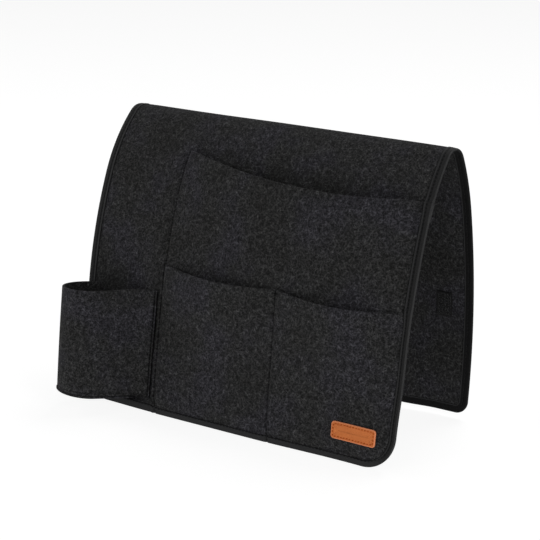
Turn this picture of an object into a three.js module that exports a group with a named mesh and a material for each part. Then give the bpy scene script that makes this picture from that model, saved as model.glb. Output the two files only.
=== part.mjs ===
// Bedside caddy: a felt sheet bent over a crest, standing on its front hem.
// The front flap carries a large pocket, a divided lower pocket, a cup sleeve and a leather label.
// Millimetres, +Z up, +X across the sheet, front flap towards -Y.
// The origin is the middle of the bounding box, on the surface that the caddy stands on.

import * as THREE from 'three';

// Felt and binding tape
const WIDTH = 340;
const HEIGHT = 267;
const FELT = 2.5;
const SEWN_FELT = 1.2; // pocket felt where the binding seam squeezes it
const TAPE = 0.7;
const TAPE_WIDTH = 7.5;
const TAPE_FOLD = 1; // rounding of the tape's folded edge
const GAP = 0.3; // between pieces that touch

// Bend of the sheet's outer face from the crest down: radius and turn in degrees of each arc
const FRONT_ARCS = [[19, 38.5], [142, 26.7], [403, 17]];
const BACK_ARCS = [[19, 62], [203, 15.5]];
const BACK_LOWER_RADIUS = 545;
const BACK_HEM = 5.5; // height at which the back flap ends
const HEM_ZONE = 40; // above each hem, where the sheet's edge turns level
const CREST_FRONT = 36; // the stretch that bends when the flaps fold, from the crest
const CREST_BACK = 75.5;
const FRONT_CORNER = 25;
const BACK_CORNER = 9;

// Pockets, as x across the sheet and distance down from the crest
const POCKET_LEFT = -86;
const DIVIDER_X = 43;
const LARGE_MOUTH = { left: 46, lowX: 75, low: 67.8, right: 56.5 };
const LEFT_MOUTH = { left: 154, lowX: -5, low: 159.4, right: 157.6 };
const RIGHT_MOUTH = { left: 157.6, lowX: 108, low: 160.1, right: 154.3 };
const LARGE_BULGE = 10; // how far a mouth stands off the layer behind it
const LOWER_BULGE = 9;

// Cup sleeve: a strip that leaves the panel, rounds a circle and comes back to its right seam
const CUP_SEAM_X = -90;
const CUP_CENTRE_X = -147;
const CUP_RADIUS = 25; // of the strip's middle line
const CUP_FOOT_X = -95;
const CUP_FOOT_RADIUS = 16;
const CUP_START = 13; // degrees round the circle at which the strip's rear end lies on the panel
const CUP_BOTTOM = 284;
const CUP_HEIGHT = 103.5;
const CUP_RIM_DROP = 0.04; // slopes of the rim and the base towards the left
const CUP_BASE_RISE = 0.055;
const CUP_BASE = 2;

// Leather label and hook patches
const LABEL = { x: 132, t: 268.4, width: 45, height: 16, corner: 3, thickness: 1.4 };
const PATCH = { x: 142, t: 174, width: 16, height: 24, thickness: 1.5 };

const { degToRad, lerp, smoothstep } = THREE.MathUtils;

const felt = new THREE.MeshStandardMaterial({ color: 0x2d2e33, roughness: 0.95, metalness: 0 });
const tape = new THREE.MeshStandardMaterial({ color: 0x141416, roughness: 0.8, metalness: 0 });
const leather = new THREE.MeshStandardMaterial({ color: 0xb5622c, roughness: 0.6, metalness: 0 });
const hook = new THREE.MeshStandardMaterial({ color: 0x0f0f11, roughness: 0.9, metalness: 0 });

// The profile of one flap, seen from the sheet's end

function walk(span, side, distance) {
  const { y, z, heading, radius } = span;
  if (radius === Infinity) {
    return { y: y + side * Math.cos(heading) * distance, z: z - Math.sin(heading) * distance, heading };
  }
  const end = heading + distance / radius;
  return {
    y: y + side * radius * (Math.sin(end) - Math.sin(heading)),
    z: z + radius * (Math.cos(end) - Math.cos(heading)),
    heading: end,
  };
}

function lastLength({ z, heading }, radius, hem) {
  if (radius === Infinity) {
    return (z - hem) / Math.sin(heading);
  }
  return radius * (Math.acos(Math.cos(heading) - (z - hem) / radius) - heading);
}

// Arcs that start level at the crest, then one last run down to the hem
function makeFlap(side, arcs, lastRadius, hem) {
  const spans = [];
  let from = { y: 0, z: HEIGHT, heading: 0 };
  let length = 0;
  for (const [radius, turn] of arcs) {
    const span = { ...from, radius, start: length };
    spans.push(span);
    length += radius * degToRad(turn);
    from = walk(span, side, length - span.start);
  }
  spans.push({ ...from, radius: lastRadius, start: length });
  length += lastLength(from, lastRadius, hem);
  const at = (distance) => {
    const span = spans.findLast(({ start }) => start <= distance);
    return walk(span, side, distance - span.start);
  };
  return { side, length, at };
}

const front = makeFlap(-1, FRONT_ARCS, Infinity, 0);
const back = makeFlap(1, BACK_ARCS, BACK_LOWER_RADIUS, BACK_HEM);

// A point of the bent sheet: x across, t along it from the crest (front positive, back negative),
// n outwards from its outer face. Near a hem, n runs level, so the sheet's edge is level.
function drape(x, t, n) {
  const flap = t < 0 ? back : front;
  const distance = Math.abs(t);
  const { y, z, heading } = flap.at(distance);
  const level = smoothstep(distance, flap.length - HEM_ZONE, flap.length);
  const outY = level > 0 ? lerp(Math.sin(heading), 1 / Math.sin(heading), level) : Math.sin(heading);
  const outZ = Math.cos(heading) * (1 - level);
  return new THREE.Vector3(x, y + flap.side * outY * n, z + outZ * n);
}

// A closed body between two grids of points, outer[row][column] and inner[row][column].
// Seen from outside, rows run down and columns run to the right.
function bodyBetween(outer, inner) {
  const rows = outer.length;
  const columns = outer[0].length;
  const index = (row, column) => row * columns + column;
  const faces = [];
  const quad = (a, b, c, d) => faces.push(a, b, c, a, c, d);
  const inside = rows * columns;

  for (let row = 0; row + 1 < rows; row++) {
    for (let column = 0; column + 1 < columns; column++) {
      const [a, b] = [index(row, column), index(row + 1, column)];
      quad(a, b, b + 1, a + 1);
      quad(a + inside, a + 1 + inside, b + 1 + inside, b + inside);
    }
  }

  const rim = [];
  for (let column = 0; column + 1 < columns; column++) rim.push(index(0, column));
  for (let row = 0; row + 1 < rows; row++) rim.push(index(row, columns - 1));
  for (let column = columns - 1; column > 0; column--) rim.push(index(rows - 1, column));
  for (let row = rows - 1; row > 0; row--) rim.push(index(row, 0));
  rim.forEach((here, i) => {
    const next = rim[(i + 1) % rim.length];
    quad(here, next, next + inside, here + inside);
  });

  const geometry = new THREE.BufferGeometry();
  geometry.setFromPoints([...outer.flat(), ...inner.flat()]);
  geometry.setIndex(faces);
  geometry.computeVertexNormals();
  return geometry;
}

function makeMesh(name, geometry, material) {
  const mesh = new THREE.Mesh(geometry, material);
  mesh.name = name;
  return mesh;
}

function evenSteps(from, to, count) {
  return Array.from({ length: count + 1 }, (_, i) => lerp(from, to, i / count));
}

// x positions across a piece, closer together where its corners are rounded
function cornerColumns(left, right, corner, cornerSteps, middleSteps) {
  const bend = evenSteps(0, Math.PI / 2, cornerSteps).map((angle) => corner * (1 - Math.cos(angle)));
  return [
    ...bend.map((offset) => left + offset),
    ...evenSteps(left + corner, right - corner, middleSteps).slice(1, -1),
    ...bend.map((offset) => right - offset).reverse(),
  ];
}

// How far a rounded corner draws an edge in, at a distance along it from the corner's side
function cornerInset(distance, corner) {
  const reach = Math.max(corner - distance, 0);
  return corner - Math.sqrt(Math.max(corner ** 2 - reach ** 2, 0));
}

// Felt cut to the columns xs, each from edges(x)[0] to edges(x)[1] along t, between two offsets
function feltPiece(name, material, { xs, stops, edges, inner, outer }) {
  const grid = (offset) => stops.map((stop) => xs.map((x) => {
    const t = stop(...edges(x));
    return drape(x, t, offset(x, t));
  }));
  return makeMesh(name, bodyBetween(grid(outer), grid(inner)), material);
}

const evenStops = (count) => evenSteps(0, 1, count).map((share) => (from, to) => lerp(from, to, share));

// Body of the sheet: front flap, crest and back flap

const EDGE_INSET = TAPE + GAP;
const BODY_EDGE = WIDTH / 2 - EDGE_INSET;
const bodyFaces = { inner: () => -FELT, outer: () => 0 };

function bodyPanels() {
  const hemInset = (x, corner) => cornerInset(BODY_EDGE - Math.abs(x), corner - EDGE_INSET) + EDGE_INSET;
  const frontPanel = feltPiece('front_panel', felt, {
    xs: cornerColumns(-BODY_EDGE, BODY_EDGE, FRONT_CORNER - EDGE_INSET, 5, 3),
    stops: evenStops(28),
    edges: (x) => [CREST_FRONT + GAP, front.length - hemInset(x, FRONT_CORNER)],
    ...bodyFaces,
  });
  const crestPanel = feltPiece('crest_panel', felt, {
    xs: [-BODY_EDGE, BODY_EDGE],
    stops: evenStops(40),
    edges: () => [-CREST_BACK, CREST_FRONT],
    ...bodyFaces,
  });
  const backPanel = feltPiece('back_panel', felt, {
    xs: cornerColumns(-BODY_EDGE, BODY_EDGE, BACK_CORNER - EDGE_INSET, 4, 3),
    stops: evenStops(22),
    edges: (x) => [hemInset(x, BACK_CORNER) - back.length, -CREST_BACK - GAP],
    ...bodyFaces,
  });
  return [frontPanel, crestPanel, backPanel];
}

// Pockets

// A scooped mouth between two corners, lowest at lowX
function scoop(x, xLeft, xRight, { left, lowX, low, right }) {
  if (x < lowX) {
    return low - (low - left) * ((lowX - x) / (lowX - xLeft)) ** 2.2;
  }
  return low - (low - right) * ((x - lowX) / (xRight - lowX)) ** 2;
}

const largeMouth = (x) => scoop(x, POCKET_LEFT, BODY_EDGE, LARGE_MOUTH);
const lowerMouth = (x) => (x < DIVIDER_X
  ? scoop(x, POCKET_LEFT, DIVIDER_X, LEFT_MOUTH)
  : scoop(x, DIVIDER_X, BODY_EDGE, RIGHT_MOUTH));

// Distance in from the bound right and lower edges of the front flap
function boundDistance(x, t) {
  const toSide = WIDTH / 2 - x;
  const toHem = front.length - t;
  if (toSide < FRONT_CORNER && toHem < FRONT_CORNER) {
    return FRONT_CORNER - Math.hypot(FRONT_CORNER - toSide, FRONT_CORNER - toHem);
  }
  return Math.min(toSide, toHem);
}

const SQUEEZE_END = TAPE_WIDTH + 5.5; // distances in from the edge
const SQUEEZE_START = TAPE_WIDTH + 12.5;
const pocketFelt = (x, t) => lerp(SEWN_FELT, FELT, smoothstep(boundDistance(x, t), SQUEEZE_END, SQUEEZE_START));

// Bulge of a pocket: highest in the middle of its mouth, nothing at its seams
function bulge(x, t, xLeft, xRight, mouth, height) {
  const across = Math.min(Math.max((x - xLeft) / (xRight - xLeft), 0), 1);
  const down = Math.min(Math.max((t - mouth) / (front.length - SQUEEZE_START - mouth), 0), 1);
  return height * Math.sin(Math.PI * across) * (1 - down) ** 1.5;
}

const SEAM = 4; // from a pocket's left edge to its seam
const boundSeamX = WIDTH / 2 - SQUEEZE_END;

const largeInner = (x, t) => GAP
  + bulge(x, t, POCKET_LEFT + SEAM, boundSeamX, largeMouth(x), LARGE_BULGE);
const largeOuter = (x, t) => largeInner(x, t) + pocketFelt(x, t);

const lowerInner = (x, t) => largeOuter(x, t) + GAP + (x < DIVIDER_X
  ? bulge(x, t, POCKET_LEFT + SEAM, DIVIDER_X, lowerMouth(x), LOWER_BULGE)
  : bulge(x, t, DIVIDER_X, boundSeamX, lowerMouth(x), LOWER_BULGE));
const lowerOuter = (x, t) => lowerInner(x, t) + pocketFelt(x, t);

// Rows down a pocket, the last few at the same distances from the hem in every pocket
const HEM_ROWS = [25, SQUEEZE_START, 16, SQUEEZE_END, EDGE_INSET];
const pocketStops = (count) => [
  ...evenSteps(0, 1, count).map((share) => (from, to) => lerp(from, to - FRONT_CORNER - 5, share)),
  ...HEM_ROWS.map((distance) => (from, to) => to - distance + EDGE_INSET),
];

function pockets() {
  const corner = FRONT_CORNER - EDGE_INSET;
  const cornerStart = BODY_EDGE - corner;
  const cornerXs = evenSteps(0, Math.PI / 2, 6).map((angle) => cornerStart + corner * Math.sin(angle));
  const hem = (x) => front.length - EDGE_INSET - cornerInset(BODY_EDGE - x, corner);
  const seamXs = [POCKET_LEFT, POCKET_LEFT + SEAM];
  const large = feltPiece('large_pocket', felt, {
    xs: [...seamXs, ...evenSteps(POCKET_LEFT + SEAM, cornerStart, 14).slice(1, -1), ...cornerXs],
    stops: pocketStops(18),
    edges: (x) => [largeMouth(x), hem(x)],
    inner: largeInner,
    outer: largeOuter,
  });
  const lower = feltPiece('lower_pocket', felt, {
    xs: [
      ...seamXs,
      ...evenSteps(POCKET_LEFT + SEAM, DIVIDER_X, 12).slice(1, -1),
      ...evenSteps(DIVIDER_X, cornerStart, 9).slice(0, -1),
      ...cornerXs,
    ],
    stops: pocketStops(10),
    edges: (x) => [lowerMouth(x), hem(x)],
    inner: lowerInner,
    outer: lowerOuter,
  });
  return [large, lower];
}

// Binding: tape folded over the edges of the sheet

// How far the front binding stands out to clear the pocket layers under it
const STEP_START = 9;
const STEP_END = 3;
function layersUnderTape(x, t) {
  const beside = smoothstep(x, POCKET_LEFT - STEP_START, POCKET_LEFT - STEP_END);
  const large = smoothstep(t, LARGE_MOUTH.right - STEP_START, LARGE_MOUTH.right - STEP_END);
  const lower = smoothstep(t, RIGHT_MOUTH.right - STEP_START, RIGHT_MOUTH.right - STEP_END);
  return beside * (large + lower) * (SEWN_FELT + GAP);
}

// The folded tape's section at one place on the edge: [distance in from the edge, offset] pairs
function tapeSection(raise) {
  const out = GAP + raise;
  const under = -FELT - GAP;
  return {
    outer: [
      [TAPE_WIDTH, out + TAPE],
      [TAPE_FOLD, out + TAPE],
      [0, out],
      [0, under],
      [TAPE_FOLD, under - TAPE],
      [TAPE_WIDTH, under - TAPE],
    ],
    inner: [
      [TAPE_WIDTH, out],
      [TAPE_FOLD, out],
      [TAPE, out],
      [TAPE, under],
      [TAPE_FOLD, under],
      [TAPE_WIDTH, under],
    ],
  };
}

function binding(name, path, raise = () => 0) {
  const layer = (key) => path.map(({ x, t, inX, inT }) => {
    const raised = raise(x + inX * TAPE_WIDTH, t + inT * TAPE_WIDTH);
    return tapeSection(raised)[key].map(([inwards, n]) => drape(x + inX * inwards, t + inT * inwards, n));
  });
  return makeMesh(name, bodyBetween(layer('outer'), layer('inner')), tape);
}

// Down one side of a flap, round its corners and hem, and up the other side
function flapEdge(flap, top, corner, sideSteps, hemXs) {
  const side = WIDTH / 2;
  const turn = flap.length - corner;
  const angles = evenSteps(0, Math.PI / 2, 6);
  const half = [
    ...evenSteps(top, turn, sideSteps).slice(0, -1).map((t) => ({ x: side, t, inX: -1, inT: 0 })),
    ...angles.map((angle) => ({
      x: side - corner + corner * Math.cos(angle),
      t: turn + corner * Math.sin(angle),
      inX: -Math.cos(angle),
      inT: -Math.sin(angle),
    })),
  ];
  const hem = hemXs.map((x) => ({ x, t: flap.length, inX: 0, inT: -1 }));
  const otherHalf = half.map(({ x, t, inX, inT }) => ({ x: -x, t, inX: -inX, inT })).reverse();
  const sign = -flap.side;
  return [...half, ...hem, ...otherHalf]
    .map(({ x, t, inX, inT }) => ({ x: sign * x, t: sign * t, inX: sign * inX, inT: sign * inT }));
}

function crestEdge(sign) {
  const side = sign * WIDTH / 2;
  const ends = sign > 0 ? [-CREST_BACK, CREST_FRONT] : [CREST_FRONT, -CREST_BACK];
  return evenSteps(...ends, 30).map((t) => ({ x: side, t, inX: -sign, inT: 0 }));
}

function bindings() {
  const stepXs = evenSteps(POCKET_LEFT - STEP_END, POCKET_LEFT - STEP_START, 4);
  return [
    binding('front_binding', flapEdge(front, CREST_FRONT + GAP, FRONT_CORNER, 32, stepXs), layersUnderTape),
    binding('crest_binding_right', crestEdge(1)),
    binding('crest_binding_left', crestEdge(-1)),
    binding('back_binding', flapEdge(back, CREST_BACK + GAP, BACK_CORNER, 18, [0])),
  ];
}

// Cup sleeve and its base, in a frame that stands on the front panel:
// x to the right from the sleeve's right seam, y into the panel, z up the panel

// The strip's middle line in plan, as x and distance off the panel
function sleevePlan() {
  const foot = GAP + FELT / 2;
  const start = degToRad(CUP_START);
  const off = GAP + (CUP_RADIUS + FELT / 2) * Math.cos(start);
  const centre = new THREE.Vector2(CUP_CENTRE_X - CUP_SEAM_X, off);
  const footCentre = new THREE.Vector2(CUP_FOOT_X - CUP_SEAM_X, foot + CUP_FOOT_RADIUS);
  const between = footCentre.clone().sub(centre);
  const leave = between.angle() + Math.acos((CUP_RADIUS + CUP_FOOT_RADIUS) / between.length());
  const path = new THREE.Path();
  path.absarc(centre.x, centre.y, CUP_RADIUS, -Math.PI / 2 - start, leave - 2 * Math.PI, true);
  path.absarc(footCentre.x, footCentre.y, CUP_FOOT_RADIUS, leave - Math.PI, -Math.PI / 2, false);
  path.lineTo(0, foot);
  return path;
}

function cup() {
  const plan = sleevePlan();
  const shares = evenSteps(0, 1, 56);
  const middle = shares.map((share) => plan.getPointAt(share));
  const normals = shares.map((share) => {
    const along = plan.getTangentAt(share);
    return new THREE.Vector2(-along.y, along.x);
  });
  const face = (offset) => middle.map((point, i) => point.clone().addScaledVector(normals[i], offset));
  const grid = (offset) => [
    face(offset).map(({ x, y }) => new THREE.Vector3(x, -y, CUP_HEIGHT + CUP_RIM_DROP * x)),
    face(offset).map(({ x, y }) => new THREE.Vector3(x, -y, -CUP_BASE_RISE * x)),
  ];
  const sleeve = makeMesh('cup_sleeve', bodyBetween(grid(FELT / 2), grid(-FELT / 2)), felt);

  const outline = face(FELT / 2).filter(({ x }) => x <= 0);
  const plate = new THREE.Shape([...outline.slice(2), new THREE.Vector2(0, GAP)]);
  const geometry = new THREE.ExtrudeGeometry(plate, { depth: CUP_BASE, bevelEnabled: false });
  const base = makeMesh('cup_base', geometry, felt);
  base.rotation.set(Math.PI, Math.atan(CUP_BASE_RISE), 0, 'YXZ');
  base.position.set(0, 0, -GAP);

  const group = new THREE.Group();
  group.position.copy(drape(CUP_SEAM_X, CUP_BOTTOM, 0));
  group.rotation.x = front.at(CUP_BOTTOM).heading - Math.PI / 2;
  group.add(sleeve, base);
  return group;
}

// Small pieces

function label() {
  const { x, t, width, height, corner, thickness } = LABEL;
  const inset = (at) => cornerInset(width / 2 - Math.abs(at - x), corner);
  const under = lowerOuter(x - width / 2, t - height / 2) + GAP;
  return feltPiece('leather_label', leather, {
    xs: cornerColumns(x - width / 2, x + width / 2, corner, 4, 6),
    stops: evenStops(4),
    edges: (at) => [t - height / 2 + inset(at), t + height / 2 - inset(at)],
    inner: () => under,
    outer: () => under + thickness,
  });
}

function hookPatch(name, centreX) {
  const { t, width, height, thickness } = PATCH;
  return feltPiece(name, hook, {
    xs: [centreX - width / 2, centreX + width / 2],
    stops: evenStops(4),
    edges: () => [-t - height / 2, height / 2 - t],
    inner: () => -FELT - GAP - thickness,
    outer: () => -FELT - GAP,
  });
}

const standing = new THREE.Group();
standing.add(
  ...bodyPanels(),
  ...pockets(),
  ...bindings(),
  cup(),
  label(),
  hookPatch('hook_patch_left', -PATCH.x),
  hookPatch('hook_patch_right', PATCH.x),
);
const middle = new THREE.Box3().setFromObject(standing, true).getCenter(new THREE.Vector3());
standing.position.set(-middle.x, -middle.y, 0);

const caddy = new THREE.Group();
caddy.add(standing);

export default caddy;
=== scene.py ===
"""Looks of the felt bedside caddy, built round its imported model.

Lengths are in millimetres and turn into metres where a mesh is made. x runs across the sheet, t along
it from the crest (front positive, back negative), and n outwards from the sheet's outer face.
"""

import math

import bpy
import numpy as np
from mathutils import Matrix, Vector


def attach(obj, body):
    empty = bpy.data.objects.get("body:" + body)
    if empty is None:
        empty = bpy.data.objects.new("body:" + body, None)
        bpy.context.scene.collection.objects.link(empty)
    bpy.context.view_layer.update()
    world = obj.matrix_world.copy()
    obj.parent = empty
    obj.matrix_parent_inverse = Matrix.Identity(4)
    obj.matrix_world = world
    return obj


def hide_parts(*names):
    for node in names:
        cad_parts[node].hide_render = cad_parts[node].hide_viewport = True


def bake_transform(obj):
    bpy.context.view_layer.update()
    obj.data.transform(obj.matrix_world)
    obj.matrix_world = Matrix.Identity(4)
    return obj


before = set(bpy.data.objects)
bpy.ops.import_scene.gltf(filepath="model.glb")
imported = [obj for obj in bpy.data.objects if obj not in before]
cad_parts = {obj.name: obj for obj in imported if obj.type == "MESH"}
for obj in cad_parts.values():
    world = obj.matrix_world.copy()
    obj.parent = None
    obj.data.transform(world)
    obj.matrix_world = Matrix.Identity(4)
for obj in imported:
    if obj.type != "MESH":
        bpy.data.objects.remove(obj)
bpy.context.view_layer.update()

# The sheet, whose corners are a little rounder than those of the solids
WIDTH = 340.0
HEIGHT = 267.0
FELT = 2.5
FRONT_ARCS = [(19.0, 38.5), (142.0, 26.7), (403.0, 17.0)]  # radius and degrees, down from the crest
BACK_ARCS = [(19.0, 62.0), (203.0, 15.5)]
BACK_LOWER_RADIUS = 545.0
BACK_HEM = 5.5  # height at which the back flap ends
HEM_ZONE = 40.0  # above each hem, where the layers turn level
EDGE_INSET = 1.2  # from a hem in to the felt's edge
SQUEEZED = 0.42  # share of the felt's thickness that is left at a bound edge
FRONT_CORNER = 30.5
BACK_CORNER = 12.0
BODY_EDGE = WIDTH / 2 - 1.0
SHIFT = np.array([1.621, 49.617, 0.0])  # from the sheet's own origin to the frame's

# Sags of the sheet, each between the x and the t of its spans
FLARE = 6.4  # the front flap's right edge leans back
FLARE_X, FLARE_T = (60.0, 170.0), (12.0, 296.0)
CORNER_FORWARD = 2.4  # its lower corner stands forward of that
CORNER_T = (215.0, 262.0)
BOW = 3.0  # the middle of the front hem stands forward
BOW_LEFT_X, BOW_RIGHT_X, BOW_T = (-165.0, -85.0), (30.0, 135.0), (175.0, 285.0)
BACK_BOW = 3.6  # the middle of the back hem stands forward too
BACK_BOW_LEFT_X, BACK_BOW_RIGHT_X, BACK_BOW_T = (-170.0, -50.0), (104.0, 140.0), (190.0, 270.0)
HOLLOW = 3.5  # the sheet sinks in behind the large pocket's mouth
HOLLOW_INSET, HOLLOW_BELOW, HOLLOW_REACH = 6.0, 4.0, 20.0

# Pockets
POCKET_LEFT = -84.2
DIVIDER_X = 43.0
LARGE_MOUTH = dict(left=46.0, low_x=75.0, low=67.8, right=56.5)
LEFT_MOUTH = dict(left=154.0, low_x=-12.0, low=159.4, right=156.0)
RIGHT_MOUTH = dict(left=156.0, low_x=108.0, low=160.6, right=155.0)
LARGE_BULGE = 12.5  # how far the mouths stand open
LOWER_BULGE = 9.0
SEAM = 2.2  # from the pockets' left edge in to their seam
SEWN_FELT = 1.2  # where the tape's seam squeezes the pockets' felt
EDGE_FELT = 0.55  # and at its edge, inside the tape
SQUEEZE_END = 13.0  # in from the bound edge, where the pockets' felt is held flat
SQUEEZE_START = 20.0  # and where it starts to be
BOUND_SEAM_X = WIDTH / 2 - SQUEEZE_END
TOUCH = 0.08  # between layers that are sewn together

# Binding tape
TAPE = 0.6
TAPE_WIDTH = 7.4
THICK_LOSS = 1.1  # of its width, where it wraps more than the sheet
LARGE_LOSS, LOWER_LOSS = 1.0, 1.1  # and more at the right edge of each pocket
LOSS_REACH = 14.0  # below a mouth
SIDE_SEAM = 4.2  # from the edge in to the seam, along the sides
HEM_SEAM = 6.5  # and along the hems
TAPE_ROLL = 0.8  # it stands out from the sheet's sides
TAPE_STEP = 1.3
LAP_UNDER, LAP_OVER = 67.0, 58.0  # where its ends lie, down from the crest on the right
LAP_RISE = 12.0  # over which the upper end rises over the lower one
LAP_POINTS = 59  # of the path's end, where that is
INNER_FACE = 12.0  # added on its inner half to the distance in from its edge, for the material
STITCH = 3.5

# Cup sleeve
CUP_SEAM_X = -90.0
CUP_CENTRE_X = -147.6
CUP_RADIUS = 25.0
CUP_FOOT_X = -95.0
CUP_FOOT_RADIUS = 16.0
CUP_START = 13.0  # degrees round the circle at which the strip starts
CUP_MARGIN = 1.5  # of the strip beyond its seam
CUP_BOTTOM = 284.0
CUP_HEIGHT = 103.5
CUP_RIM_DROP = 0.04  # of the rim towards the left, for each millimetre
CUP_BASE_RISE = 0.055  # and of the base, upwards
CUP_BASE = 2.0  # the base's thickness

# Label and hook patches
LABEL = dict(x=132.5, t=267.6, width=44.2, height=15.2, corner=3.0, thickness=1.4)
PATCH = dict(x=142.0, t=174.0, width=16.0, height=24.0, web=0.7)

rng = np.random.default_rng(7)


# Shape of the bent sheet


def share_of(v, low, high):
    """How much of the way from low to high v is, from 0 to 1."""
    return np.clip((np.asarray(v, float) - low) / (high - low), 0, 1)


def ease(v, low, high):
    """The same, but slow at both ends."""
    share = share_of(v, low, high)
    return share * share * (3 - 2 * share)


def make_flap(side, arcs, last_radius, hem):
    spans, y, z, heading, length = [], 0.0, HEIGHT, 0.0, 0.0
    for radius, turn in arcs:
        spans.append((length, y, z, heading, radius))
        end = heading + math.radians(turn)
        y += side * radius * (math.sin(end) - math.sin(heading))
        z += radius * (math.cos(end) - math.cos(heading))
        heading = end
        length += radius * math.radians(turn)
    spans.append((length, y, z, heading, last_radius))
    if math.isinf(last_radius):
        length += (z - hem) / math.sin(heading)
    else:
        length += last_radius * (math.acos(math.cos(heading) - (z - hem) / last_radius) - heading)
    return dict(side=side, spans=np.array(spans), length=length)


FRONT = make_flap(-1, FRONT_ARCS, math.inf, 0.0)
BACK = make_flap(1, BACK_ARCS, BACK_LOWER_RADIUS, BACK_HEM)


def flap_at(flap, distance):
    """y, z and heading at a distance from the crest."""
    spans = flap["spans"]
    index = np.clip(np.searchsorted(spans[:, 0], distance, side="right") - 1, 0, None)
    start, y, z, heading, radius = np.moveaxis(spans[index], -1, 0)
    along = distance - start
    straight = np.isinf(radius)
    bend = np.where(straight, 1.0, radius)
    end = np.where(straight, heading, heading + along / bend)
    dy = np.where(straight, np.cos(heading) * along, bend * (np.sin(end) - np.sin(heading)))
    dz = np.where(straight, -np.sin(heading) * along, bend * (np.cos(end) - np.cos(heading)))
    return y + flap["side"] * dy, z + dz, end


def flare(x, t):
    """How far the front flap's right edge leans back between the crest and the hem."""
    corner = CORNER_FORWARD * ease(t, *CORNER_T)
    lean = FLARE * np.sin(np.pi * share_of(t, *FLARE_T) ** 0.78)
    return (lean - corner) * share_of(x, *FLARE_X) ** 2


def bow(x, t):
    """How far the foot of the front flap stands forward."""
    left = 0.2 + 0.8 * ease(x, *BOW_LEFT_X)
    return BOW * ease(t, *BOW_T) * left * (1 - ease(x, *BOW_RIGHT_X))


def back_bow(x, t):
    """How far the foot of the back flap stands in towards the front one."""
    across = ease(x, *BACK_BOW_LEFT_X) * (1 - ease(x, *BACK_BOW_RIGHT_X))
    return BACK_BOW * ease(-t, *BACK_BOW_T) * across


def drape(x, t, n):
    """The points of the bent sheet at x and t, n out from its outer face."""
    x, t, n = np.broadcast_arrays(*(np.asarray(v, float) for v in (x, t, n)))
    n = n - flare(x, t) + bow(x, t) - back_bow(x, t)
    out = np.empty(x.shape + (3,))
    out[..., 0] = x
    for flap, here in ((FRONT, t >= 0), (BACK, t < 0)):
        distance = np.abs(t[here])
        y, z, heading = flap_at(flap, distance)
        level = ease(distance, flap["length"] - HEM_ZONE, flap["length"])
        sine = np.sin(heading)
        steep = np.where(level > 0, 1 / np.maximum(sine, 1e-6), sine)
        out[here, 1] = y + flap["side"] * (sine + (steep - sine) * level) * n[here]
        out[here, 2] = z + np.cos(heading) * (1 - level) * n[here]
    return out


def edge_distance(x, t):
    """Distance in from the sheet's bound edges, whose corners are rounded."""
    x, t = np.broadcast_arrays(np.asarray(x, float), np.asarray(t, float))
    corner = np.where(t < 0, BACK_CORNER, FRONT_CORNER)
    length = np.where(t < 0, BACK["length"], FRONT["length"])
    to_side, to_hem = WIDTH / 2 - np.abs(x), length - np.abs(t)
    rounded = (to_side < corner) & (to_hem < corner)
    bent = corner - np.hypot(corner - to_side, corner - to_hem)
    return np.where(rounded, bent, np.minimum(to_side, to_hem))


# Layers of felt, as offsets from the sheet's outer face


def scoop(x, left_x, right_x, left, low_x, low, right):
    """A mouth from left to right, lowest at low_x."""
    before = np.maximum(low_x - x, 0) / (low_x - left_x)
    after = np.maximum(x - low_x, 0) / (right_x - low_x)
    return low - (low - left) * before**2.2 - (low - right) * after**2


def large_mouth(x):
    return scoop(x, POCKET_LEFT, BODY_EDGE, **LARGE_MOUTH)


def lower_mouth(x):
    left = scoop(np.minimum(x, DIVIDER_X), POCKET_LEFT, DIVIDER_X, **LEFT_MOUTH)
    right = scoop(np.maximum(x, DIVIDER_X), DIVIDER_X, BODY_EDGE, **RIGHT_MOUTH)
    return np.where(x < DIVIDER_X, left, right)


def bulge(x, t, left, right, mouth, height, power):
    across = share_of(x, left, right)
    down = share_of(t, mouth, FRONT["length"] - SQUEEZE_START)
    return height * np.sin(np.pi * across) ** power * (1 - down) ** 1.5


def groove(distance, depth, width):
    return depth * np.exp(-((distance / width) ** 2))


def body_half(x, t):
    """Half the sheet's thickness, squeezed under the tape."""
    return FELT / 2 * (SQUEEZED + (1 - SQUEEZED) * ease(edge_distance(x, t), 1, 14))


def hollow(x, t):
    across = share_of(x, POCKET_LEFT + HOLLOW_INSET, BOUND_SEAM_X - HOLLOW_INSET)
    depth = groove(t - large_mouth(x) - HOLLOW_BELOW, HOLLOW, HOLLOW_REACH)
    return depth * np.sin(np.pi * across) ** 0.35 * (t > 0)


def body_outer(x, t):
    return body_half(x, t) - FELT / 2 - hollow(x, t)


def body_inner(x, t):
    return -body_half(x, t) - FELT / 2 - hollow(x, t)


def pocket_felt(x, t):
    bound = edge_distance(x, t)
    sewn = EDGE_FELT + (SEWN_FELT - EDGE_FELT) * ease(bound, 1, 9)
    thick = sewn + (FELT - SEWN_FELT) * ease(bound, SQUEEZE_END - 4, SQUEEZE_START)
    return thick * (0.8 + 0.2 * ease(x - POCKET_LEFT, 1, 9))


def large_inner(x, t):
    power = 0.7 - 0.3 * ease(x, 40, 130)
    lift = bulge(x, t, POCKET_LEFT + SEAM, BOUND_SEAM_X, large_mouth(x), LARGE_BULGE, power)
    return body_outer(x, t) + hollow(x, t) + TOUCH + lift


def large_outer(x, t):
    sewn = groove(x - POCKET_LEFT - SEAM, 1.5, 0.8)
    return large_inner(x, t) + pocket_felt(x, t) - sewn


def lower_inner(x, t):
    left = bulge(x, t, POCKET_LEFT + SEAM, DIVIDER_X, lower_mouth(x), LOWER_BULGE, 1.7)
    right = bulge(x, t, DIVIDER_X, BOUND_SEAM_X, lower_mouth(x), LOWER_BULGE, 1.7)
    return large_outer(x, t) + TOUCH + np.where(x < DIVIDER_X, left, right)


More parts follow.
